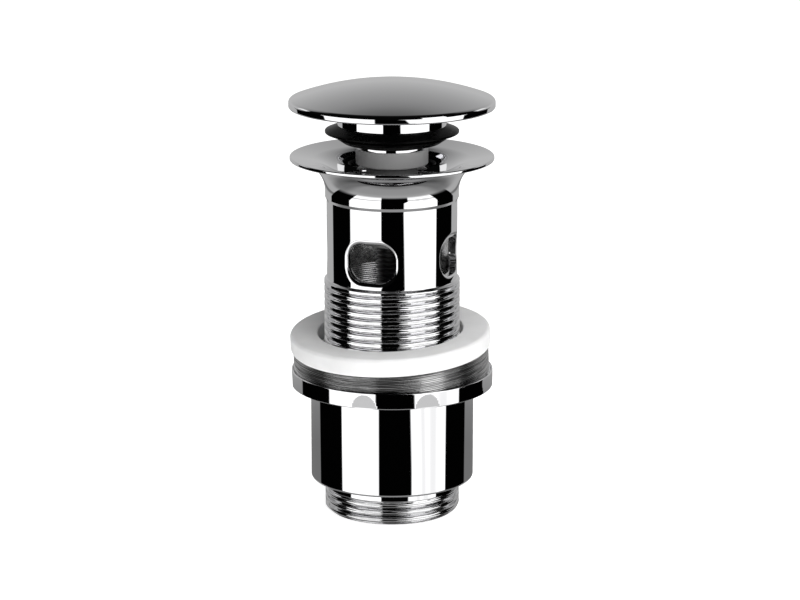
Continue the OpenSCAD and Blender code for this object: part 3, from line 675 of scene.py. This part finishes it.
# %% [markdown]
# ## The return spring
# The spring stands on the anchor stud and pushes the plunger up. It is a round wire along a helix
# whose end turns lie flat. It shortens as the plug goes down, and it rides on the fixed waste. A
# curve with a round bevel could make it, but the grid gives it closed ends.

# %% Spring
SPRING_LOW, SPRING_HIGH = heights("return_spring")
SPRING_TURNS, SPRING_MEAN, WIRE, STROKE = 11, 2.45, 0.34, 10.3
turns = np.linspace(0, SPRING_TURNS, SPRING_TURNS * 28 + 1)[:, None]
climb = np.clip((turns - 0.75) / (SPRING_TURNS - 1.5), 0, 1)
wire_z = SPRING_LOW + WIRE + 0.01 + (SPRING_HIGH - SPRING_LOW - 2 * WIRE - 0.02) * climb
path = np.concatenate([turns[:1], turns, turns[-1:]])
wire_z = np.concatenate([wire_z[:1], wire_z, wire_z[-1:]])
thick = WIRE * np.concatenate([[[0]], np.ones_like(turns), [[0]]])
section = np.linspace(0, 2 * np.pi, 15)
wire_r = SPRING_MEAN + thick * np.cos(section)
spring_points = np.stack(np.broadcast_arrays(
    wire_r * np.cos(2 * np.pi * path), wire_r * np.sin(2 * np.pi * path),
    wire_z - thick * np.sin(section)), -1)
spring = add_piece("return_spring", [sheet(spring_points)], "waste", ["return_spring"])
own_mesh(spring)

# %% [markdown]
# ## A short way to write nodes
# Every finish below is a small graph of shader nodes. This helper adds one node and connects it
# at once: a value that is a socket is linked, and anything else is set on the socket.

# %% Node helper


def put(tree, kind, out=0, **values):
    """Adds a node, sets its properties and inputs by name, and returns one of its outputs.
    Inputs named a, b and c stand for the first, second and third socket."""
    node = tree.nodes.new(kind)
    for key, value in values.items():
        first_three = key in ("a", "b", "c")
        if hasattr(node, key) and not first_three:
            setattr(node, key, value)
            continue
        socket = node.inputs["abc".index(key) if first_three else key.replace("_", " ")]
        if isinstance(value, bpy.types.NodeSocket):
            tree.links.new(value, socket)
        else:
            socket.default_value = value
    return node.outputs[out]


def maths(tree, operation, a, b=0.0, c=0.0):
    """One arithmetic node."""
    return put(tree, "ShaderNodeMath", operation=operation, a=a, b=b, c=c)


def ramp(tree, value, stops):
    """A straight colour ramp of (position, grey) stops."""
    output = put(tree, "ShaderNodeValToRGB", a=value)
    strip = output.node.color_ramp
    while len(strip.elements) < len(stops):
        strip.elements.new(0.5)
    for element, (position, grey) in zip(strip.elements, stops):
        element.position = position
        element.color = (grey, grey, grey, 1)
    return output


def smooth(tree, value, low, high):
    """A value that rises smoothly from 0 at low to 1 at high."""
    return put(tree, "ShaderNodeMapRange", interpolation_type="SMOOTHSTEP", a=value,
               From_Min=low, From_Max=high)


print("node helpers ready")

# %% [markdown]
# ## Shared effects
# Three effects serve several finishes, so each is a node group. Plating haze is the faint,
# uneven cloudiness of polished chrome. Tool lines are the rings that a turning tool leaves.
# Moulded skin is the fine grain of plastic and rubber that comes out of a steel mould.

# %% Node groups
ROUND_SCALE, ALONG_SCALE = 60.0, 2300.0


def new_group(name, inputs, outputs):
    """An empty node group with number or vector inputs of (name, value) and number outputs."""
    group = bpy.data.node_groups.new(name, "ShaderNodeTree")
    for label, value in inputs:
        kind = "NodeSocketVector" if isinstance(value, tuple) else "NodeSocketFloat"
        group.interface.new_socket(label, in_out="INPUT", socket_type=kind).default_value = value
    for label in outputs:
        group.interface.new_socket(label, in_out="OUTPUT", socket_type="NodeSocketFloat")
    return group, group.nodes.new("NodeGroupInput").outputs, group.nodes.new("NodeGroupOutput").inputs


def object_place(tree):
    """Position on the piece itself, in metres."""
    return put(tree, "ShaderNodeTexCoord", out="Object")


haze, given, result = new_group("plating_haze", [("Clean", 0.02), ("Cloudy", 0.05)], ["Roughness", "Wave"])
place = object_place(haze)
cloud = put(haze, "ShaderNodeTexNoise", Vector=place, Scale=90.0, Detail=4.0, Roughness=0.6)
wipe = put(haze, "ShaderNodeTexNoise", Vector=place, Scale=700.0, Detail=2.0)
mixed = maths(haze, "MULTIPLY", smooth(haze, cloud, 0.45, 0.75), maths(haze, "MULTIPLY_ADD", wipe, 0.6, 0.5))
span = maths(haze, "SUBTRACT", given["Cloudy"], given["Clean"])
haze.links.new(maths(haze, "MULTIPLY_ADD", mixed, span, given["Clean"]), result["Roughness"])
haze.links.new(put(haze, "ShaderNodeTexNoise", Vector=place, Scale=45.0, Detail=1.0), result["Wave"])

lines, given, result = new_group("tool_lines", [("Pitch", 0.0005), ("Waver", 0.3), ("Axis", (0.0, 0.0, 1.0))],
                                 ["Height", "Tone"])
place = object_place(lines)
along = put(lines, "ShaderNodeVectorMath", out="Value", operation="DOT_PRODUCT", a=place, b=given["Axis"])
level = maths(lines, "DIVIDE", along, given["Pitch"])
x, y = [put(lines, "ShaderNodeSeparateXYZ", out=k, Vector=place) for k in "XY"]
stretched = put(lines, "ShaderNodeCombineXYZ", X=maths(lines, "MULTIPLY", x, ROUND_SCALE),
                Y=maths(lines, "MULTIPLY", y, ROUND_SCALE), Z=maths(lines, "MULTIPLY", along, ALONG_SCALE))
band = put(lines, "ShaderNodeTexNoise", Vector=stretched, Scale=1.0, Detail=3.0, Roughness=0.65)
groove = maths(lines, "SINE", maths(lines, "MULTIPLY", level, 2 * math.pi))
lines.links.new(maths(lines, "MULTIPLY_ADD", groove, 0.5, maths(lines, "MULTIPLY", band, given["Waver"])),
                result["Height"])
lines.links.new(band, result["Tone"])

skin, given, result = new_group("moulded_skin", [("Grain", 2600.0)], ["Height", "Tone"])
place = object_place(skin)
pores = put(skin, "ShaderNodeTexNoise", Vector=place, Scale=given["Grain"], Detail=3.0)
clouds = put(skin, "ShaderNodeTexNoise", Vector=place, Scale=120.0, Detail=4.0)
skin.links.new(pores, result["Height"])
skin.links.new(clouds, result["Tone"])
print("node groups:", [g.name for g in bpy.data.node_groups])

# %% [markdown]
# ## Making a material
# Each finish starts from one Principled shader. Numbers that are the same all over the piece are
# set on the shader itself, and only what changes over the surface is linked.

# %% Material helper


def new_material(name, **values):
    """A material with a Principled shader; returns the material, its tree and the shader."""
    material = bpy.data.materials.new(name)
    material.use_nodes = True
    shader = material.node_tree.nodes["Principled BSDF"]
    for key, value in values.items():
        shader.inputs[key.replace("_", " ")].default_value = value
    return material, material.node_tree, shader


def use_group(tree, group, **values):
    """Places a shared effect with its own values and returns its outputs."""
    node = tree.nodes.new("ShaderNodeGroup")
    node.node_tree = group
    for key, value in values.items():
        node.inputs[key].default_value = value
    return node.outputs


def bumped(tree, shader, height, strength, distance):
    """Feeds a height into the shader's normal."""
    tree.links.new(put(tree, "ShaderNodeBump", Height=height, Strength=strength, Distance=distance),
                   shader.inputs["Normal"])


def greys(tree, value, dark, light):
    """A grey between two tones, chosen by a value from 0 to 1."""
    return ramp(tree, value, [(0.3, dark), (0.7, light)])


print("material helper ready")

# %% [markdown]
# ## Chrome
# Polished chrome is almost a mirror, so its look comes from what stands round it. Inside the
# bore the casting is plated but not polished: rough above, and with tool lines lower down. Its
# lighter tone is raised near white, as painted light for the dim bore. The threads keep some of
# the cutter's lines too. Both are chosen by place on the piece.

# %% Chrome
CHROME = (0.89, 0.89, 0.90, 1)
CUTTER_PITCH, CUTTER_DEPTH = 0.65 * MM, 0.09 * MM


def chrome_material(name, rough_mask=None, dark=0.5, light=0.85, cast_above=None):
    """Mirror chrome, with a mask from the object's place for where it isn't polished. Above the
    height cast_above the unpolished part is rough from casting; below it has tool lines."""
    material, tree, shader = new_material(name, Base_Color=CHROME, Metallic=1.0)
    effect = use_group(tree, haze, Clean=0.015, Cloudy=0.045)
    roughness = effect["Roughness"]
    if rough_mask is None:
        tree.links.new(roughness, shader.inputs["Roughness"])
        bumped(tree, shader, effect["Wave"], 0.05, 0.0002)
        return material
    mask = rough_mask(tree)
    marks = use_group(tree, lines, Pitch=CUTTER_PITCH, Waver=0.5)
    height = marks["Height"]
    tone = maths(tree, "MULTIPLY_ADD", height, 0.6, 0.35)
    if cast_above:
        grit = put(tree, "ShaderNodeTexNoise", Vector=object_place(tree), Scale=900.0, Detail=4.0)
        up = put(tree, "ShaderNodeSeparateXYZ", out="Z", Vector=object_place(tree))
        cast = smooth(tree, up, cast_above - 0.001, cast_above + 0.001)
        height = put(tree, "ShaderNodeMix", a=cast, A=height, B=grit)
        tone = put(tree, "ShaderNodeMix", a=cast, A=tone, B=grit)
    rough = maths(tree, "MULTIPLY_ADD", tone, 0.15, 0.10)
    tree.links.new(put(tree, "ShaderNodeMix", a=mask, A=roughness, B=rough), shader.inputs["Roughness"])
    colour = put(tree, "ShaderNodeMix", out=2, data_type="RGBA", a=mask)
    colour.node.inputs[6].default_value = CHROME
    tree.links.new(greys(tree, tone, dark, light), colour.node.inputs[7])
    tree.links.new(colour, shader.inputs["Base Color"])
    bumped(tree, shader, maths(tree, "MULTIPLY", height, mask), 1.0, CUTTER_DEPTH)
    return material


mirror = chrome_material("mirror_chrome")
print("chrome:", mirror.name)

# %% Chrome that keeps its marks
CAST_ABOVE = 74.4
BODY_SHARE, TAIL_SHARE = 0.17, 0.36


def thread_lines(tree, low, high, share):
    """The given share on a thread between two levels in millimetres, 0 elsewhere."""
    z = put(tree, "ShaderNodeSeparateXYZ", out="Z", Vector=object_place(tree))
    above = smooth(tree, z, (low - 0.2) * MM, low * MM)
    below = maths(tree, "SUBTRACT", 1.0, smooth(tree, z, high * MM, (high + 0.3) * MM))
    return maths(tree, "MULTIPLY", maths(tree, "MULTIPLY", above, below), share)


def body_marks(tree):
    """1 inside the body's bore below the polished trumpet, and some lines on its thread."""
    x, y, z = [put(tree, "ShaderNodeSeparateXYZ", out=k, Vector=object_place(tree)) for k in "XYZ"]
    squares = maths(tree, "MULTIPLY_ADD", x, x, maths(tree, "MULTIPLY", y, y))
    r = maths(tree, "SQRT", squares)
    inner = maths(tree, "SUBTRACT", 1.0, smooth(tree, r, (BORE + 0.1) * MM, (BORE + 0.4) * MM))
    deep = maths(tree, "SUBTRACT", 1.0, smooth(tree, z, (TRUMPET_Z - 3) * MM, TRUMPET_Z * MM))
    threaded = thread_lines(tree, TUBE_LOW, THREAD_TOP - 2, BODY_SHARE)
    return maths(tree, "MAXIMUM", maths(tree, "MULTIPLY", inner, deep), threaded)


def tail_marks(tree):
    """Some lines on the tail's thread."""
    return thread_lines(tree, -1, TAIL_TOP - 3, TAIL_SHARE)


# Painted light: the bore's unpolished grey reaches 0.97 to stand in for light that barely enters it.
body_chrome = chrome_material("body_chrome", body_marks, light=0.97, cast_above=CAST_ABOVE * MM)
bell_chrome = chrome_material("bell_chrome", tail_marks)
print("chrome with marks:", body_chrome.name, bell_chrome.name)

# %% [markdown]
# ## Bare metal, plastic and rubber
# The slip washer is turned and not polished, the stud and nut are zinc plated, and the spring is
# drawn wire. The zinc's grey is painted far darker than zinc plate: painted shade for the dark
# bore where these pieces sit. The plastics and the rubber have a moulded skin whose tone wanders a
# little. One function makes each family, so that its finishes differ only in their values.

# %% Other finishes


def metal_material(name, dark, light, roughness, pitch, axis=(0.0, 0.0, 1.0)):
    """Plated or drawn metal with tool lines square to an axis, in its tone, gloss and height."""
    material, tree, shader = new_material(name, Metallic=1.0)
    marks = use_group(tree, lines, Pitch=pitch, Waver=1.0, Axis=axis)
    tree.links.new(greys(tree, marks["Tone"], dark, light), shader.inputs["Base Color"])
    tree.links.new(maths(tree, "MULTIPLY_ADD", marks["Tone"], 0.15, roughness), shader.inputs["Roughness"])
    bumped(tree, shader, marks["Height"], 0.3, 0.0001)
    return material


def moulded_material(name, dark, light, roughness, strength, **values):
    """Plastic or rubber with a moulded grain; its tone runs from dark to light in soft clouds."""
    material, tree, shader = new_material(name, **values)
    grain = use_group(tree, skin, Grain=2600.0)
    tree.links.new(greys(tree, grain["Tone"], dark, light), shader.inputs["Base Color"])
    tree.links.new(maths(tree, "MULTIPLY_ADD", grain["Tone"], 0.14, roughness), shader.inputs["Roughness"])
    bumped(tree, shader, grain["Height"], strength, 0.0001)
    return material


lean_axis = (-math.sin(LEAN) * math.cos(LEAN_DIRECTION),
             -math.sin(LEAN) * math.sin(LEAN_DIRECTION), math.cos(LEAN))
turned = metal_material("turned_plate", 0.10, 0.85, 0.08, LINE_PITCH * MM, lean_axis)
# Painted shade: the zinc's grey is kept near black for the dark bore where it sits.
shaded_zinc = metal_material("zinc_plate_painted_dark", 0.14, 0.24, 0.24, 0.0011)
wire = metal_material("drawn_wire", 0.45, 0.6, 0.22, 0.0002)
rubber = moulded_material("seal_rubber", 0.0006, 0.0015, 0.22, 0.05, Specular_IOR_Level=0.07)
grey = moulded_material("grey_acetal", 0.62, 0.68, 0.32, 0.06)
dark = moulded_material("dark_acetal", 0.17, 0.22, 0.36, 0.08)
natural = moulded_material("natural_acetal", 0.70, 0.78, 0.35, 0.06)
white = moulded_material("white_polyethylene", 0.82, 0.90, 0.40, 0.10, Subsurface_Weight=0.15,
                         Subsurface_Radius=(0.002, 0.002, 0.0018))
finishes = {
    mirror: [cap, boss, retainer], body_chrome: [body, cross_bar], bell_chrome: [bell],
    turned: [slip], shaded_zinc: [stud, nut, washer], wire: [spring], rubber: [seal], grey: [sleeve],
    dark: [barrel], white: [basin_seal]}
for finish, pieces in finishes.items():
    for piece in pieces:
        piece.data.materials.append(finish)
print("finished pieces:", sum(len(p) for p in finishes.values()))

# %% [markdown]
# ## The pieces that stay as they are
# The small inner pieces are right as solids. They could be built again as surfaces, but the sleeve
# and the barrel hide them, so they only get their real finish.

# %% Inner pieces
inner = {"cap_stud": shaded_zinc, "grit_ring": rubber, "cam_plunger": natural, "index_ring": dark,
         "follower_pins": shaded_zinc, "guide_bush": natural, "snap_ring": wire}
for name, finish in inner.items():
    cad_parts[name].data.materials.clear()
    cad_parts[name].data.materials.append(finish)
print("inner pieces:", ", ".join(inner))

# %% [markdown]
# ## Directions in the studio
# Chrome shows the studio and not itself. The world below is that studio, painted by direction: by
# the angle round the waste, counted from the camera, and by the height. Its upright edges lean a
# little, as they do in the photo, so the angle is bent by the height before it picks a band. Real
# walls and lamps could stand there too, but directions are easier to fit to the bands.

# %% Directions
LEVEL = -17.5
LEAN_RATE, OPEN_RATE = 1.39, -0.0074


def between(tree, value, low, high, soft):
    """1 between two limits and 0 outside, with edges that are soft by so much on either side."""
    past_high = smooth(tree, value, high - soft, high + soft)
    return maths(tree, "MULTIPLY", smooth(tree, value, low - soft, low + soft),
                 maths(tree, "SUBTRACT", 1.0, past_high))


def blend(tree, share, first, second):
    """The first value where share is 0, the second where it is 1."""
    return put(tree, "ShaderNodeMix", a=share, A=first, B=second)


world = bpy.data.worlds.new("studio")
world.use_nodes = True
tree = world.node_tree
tree.nodes.clear()
toward = put(tree, "ShaderNodeTexCoord", out="Generated")
x, y, z = [put(tree, "ShaderNodeSeparateXYZ", out=k, Vector=toward) for k in "XYZ"]
azimuth = maths(tree, "ARCTAN2", x, maths(tree, "MULTIPLY", y, -1.0))
azimuth = maths(tree, "MULTIPLY", azimuth, 180 / math.pi)
elevation = maths(tree, "MULTIPLY", maths(tree, "ARCSINE", z), 180 / math.pi)
sideways = maths(tree, "ABSOLUTE", azimuth)
above = maths(tree, "SUBTRACT", elevation, LEVEL)
near_right = between(tree, azimuth, 3.0, 55.0, 4.0)
leaning = maths(tree, "MULTIPLY", maths(tree, "MAXIMUM", above, 0.0), LEAN_RATE)
leaning = maths(tree, "MULTIPLY", leaning, near_right)
opening = maths(tree, "MULTIPLY", maths(tree, "MULTIPLY", above, OPEN_RATE),
                smooth(tree, sideways, 50.0, 60.0))
bent = maths(tree, "ADD", maths(tree, "MULTIPLY_ADD", azimuth, opening, azimuth), leaning)
turn = maths(tree, "MULTIPLY_ADD", bent, 1 / 360, 0.5)
rise = maths(tree, "MULTIPLY_ADD", elevation, 1 / 180, 0.5)
print("directions: upright edges are true at", LEVEL, "degrees")

# %% [markdown]
# ## Walls
# A dark strip stands behind the camera, with a bright wall on either side of it, dark strips beyond
# those, and a grey wall at the back that grows darker upwards. Low on the back wall a dark band is
# painted shade: the floor's shadow just behind the waste, which the bell's edges show. The bright
# walls are low: everything in front above them is dark. Near their foot they have a grey strip,
# which the spanner flats show. Two small bright panels stand higher at the sides, and only the
# flange's mouth sees them. A taller screen stands over the right wall, and the bore shows it through
# the right slot.

# %% Walls
BRIGHT, BLACK, STRIP = 1.35, 0.0005, 0.62
PANEL, SCREEN = 0.9, 1.4
WALL_TOP = -2.5


def by_turn(degrees):
    """Place on a ramp of a direction's angle from the camera, from -180 to 180 degrees."""
    return degrees / 360 + 0.5


def by_rise(degrees):
    """Place on a ramp of a direction's height, from -90 to 90 degrees."""
    return degrees / 180 + 0.5


def bands(edges, first):
    """Ramp stops for sharp bands: (angle where a band starts, its grey), each edge half a degree wide."""
    stops, grey = [(0.0, first)], first
    for angle, following in edges:
        stops += [(by_turn(angle - 0.25), grey), (by_turn(angle + 0.25), following)]
        grey = following
    return stops + [(1.0, grey)]


def rises(*points):
    """Ramp stops for greys by height: (degrees, grey)."""
    return [(by_rise(degrees), grey) for degrees, grey in points]


lit = ramp(tree, turn, bands([(-123, 0.0), (-75.6, 1.0), (-19.2, 0.0), (28, 1.0), (81.3, 0.0)], 0.0))
behind = ramp(tree, turn, bands([(-123, 0.0), (124.5, 1.0)], 1.0))
# Painted shade: the dark step from -19 to -16.4 degrees is the floor's shadow just behind the waste.
back_wall_and_shadow = ramp(tree, rise, rises(
    (-90, 0.42), (-20.5, 0.42), (-19, 0.17), (-16.4, 0.17), (-15, 0.40), (-12, 0.43), (-10, 0.46),
    (-4, 0.48), (10, 0.50), (19, 0.435), (28, 0.36), (37, 0.285), (42, 0.23), (46, 0.17), (51, 0.10),
    (53, 0.01), (90, 0.01)))
streaks = maths(tree, "ADD", between(tree, bent, 42.0, 49.0, 2.5), between(tree, bent, 54.0, 66.0, 4.0))
streaks = maths(tree, "MULTIPLY", streaks, between(tree, elevation, -25.0, -15.5, 0.5))
streaked = maths(tree, "MULTIPLY_ADD", streaks, -0.34, BRIGHT)
bright_wall = blend(tree, between(tree, elevation, -23.0, -19.7, 0.6), streaked, STRIP)
low_walls = blend(tree, behind, blend(tree, lit, BLACK, bright_wall), back_wall_and_shadow)
ceiling = blend(tree, smooth(tree, sideways, 108.0, 132.0), 0.002, back_wall_and_shadow)
panel = maths(tree, "MULTIPLY", between(tree, sideways, 110.0, 130.0, 1.0),
              between(tree, elevation, 10.0, 26.0, 1.0))
screen = maths(tree, "MULTIPLY", between(tree, azimuth, 34.0, 62.0, 1.0),
               between(tree, elevation, -5.0, 28.0, 1.0))
high_walls = blend(tree, screen, blend(tree, panel, ceiling, PANEL), SCREEN)
walls = blend(tree, smooth(tree, elevation, WALL_TOP - 1.5, WALL_TOP + 1.5), low_walls, high_walls)
print("walls:", len(lit.node.color_ramp.elements), "stops round the waste")

# %% [markdown]
# ## Floor tones and the sky that the camera sees
# Downwards the chrome shows the ground, lighter in front than at the sides, and darker close to
# the waste at the back: that darkening is painted shade, the waste's shadow on the floor. The
# camera itself sees plain white, like the photo's background.

# %% Floor tones
# Painted shade: both ramps darken steeply downwards, the back one most, for the shadow round the waste's
# foot.
front_floor = ramp(tree, rise, rises(
    (-90, 0.10), (-75, 0.2), (-65, 0.29), (-45, 0.31), (-33, 0.40), (90, 0.4)))
back_floor = ramp(tree, rise, rises(
    (-90, 0.05), (-65, 0.08), (-55, 0.09), (-45, 0.17), (-38, 0.30), (-33, 0.36), (90, 0.36)))
side_shade = maths(tree, "MULTIPLY_ADD", between(tree, sideways, 88.0, 132.0, 14.0), -0.45, 1.0)
ground = blend(tree, smooth(tree, sideways, 112.0, 140.0), front_floor, back_floor)
ground = maths(tree, "MULTIPLY", ground, side_shade)
whole = blend(tree, smooth(tree, elevation, -36.0, -27.0), ground, walls)
seen = blend(tree, put(tree, "ShaderNodeLightPath", out="Is Camera Ray"), whole, 1.0)
background = put(tree, "ShaderNodeBackground", Color=seen)
tree.links.new(background, tree.nodes.new("ShaderNodeOutputWorld").inputs["Surface"])
bpy.context.scene.world = world
print("world nodes:", len(tree.nodes))

# %% [markdown]
# ## Floor and soft light
# The floor is plain and pale, and glows a little so that it stays as white as the photo's ground.
# It is left out of the reflections, because the photo's chrome shows only the studio walls, and so
# is the white washer, which the photo's thread and flare don't show either. A wide soft light from
# above and a weaker one in front shape the washer and the plastic.

# %% Floor and light
FLOOR_HALF = 12.0
corners = FLOOR_HALF * np.array([(-1, -1, 0), (1, -1, 0), (1, 1, 0), (-1, 1, 0)])
floor_mesh = bpy.data.meshes.new("studio_floor")
floor_mesh.from_pydata(corners - [0, 0, 0.0002], [], [(0, 1, 2, 3)])
floor = bpy.data.objects.new("studio_floor", floor_mesh)
bpy.context.scene.collection.objects.link(floor)
paper, tree, shader = new_material("pale_paper", Roughness=0.9, Emission_Color=(1, 1, 1, 1),
                                   Emission_Strength=0.86)
grain = use_group(tree, skin, Grain=900.0)
tree.links.new(greys(tree, grain["Tone"], 0.86, 0.88), shader.inputs["Base Color"])
floor_mesh.materials.append(paper)
floor.visible_glossy = False
basin_seal.visible_glossy = False


def soft_lamp(name, width, depth, energy, place, tilt):
    """A wide area lamp that lights matt surfaces and is left out of the reflections."""
    data = bpy.data.lights.new(name, "AREA")
    data.shape = "RECTANGLE"
    data.size, data.size_y, data.energy = width, depth, energy
    lamp = bpy.data.objects.new(name, data)
    lamp.location = place
    lamp.rotation_euler = (math.radians(tilt), 0, 0)
    lamp.visible_glossy = False
    bpy.context.scene.collection.objects.link(lamp)


soft_lamp("soft_top", 1.6, 1.2, 24, (0.4, -0.4, 1.5), -15)
soft_lamp("soft_front", 1.6, 1.0, 9, (0.4, -1.6, 0.6), 70)
bpy.context.scene.view_settings.view_transform = "Standard"
print("floor and light set")
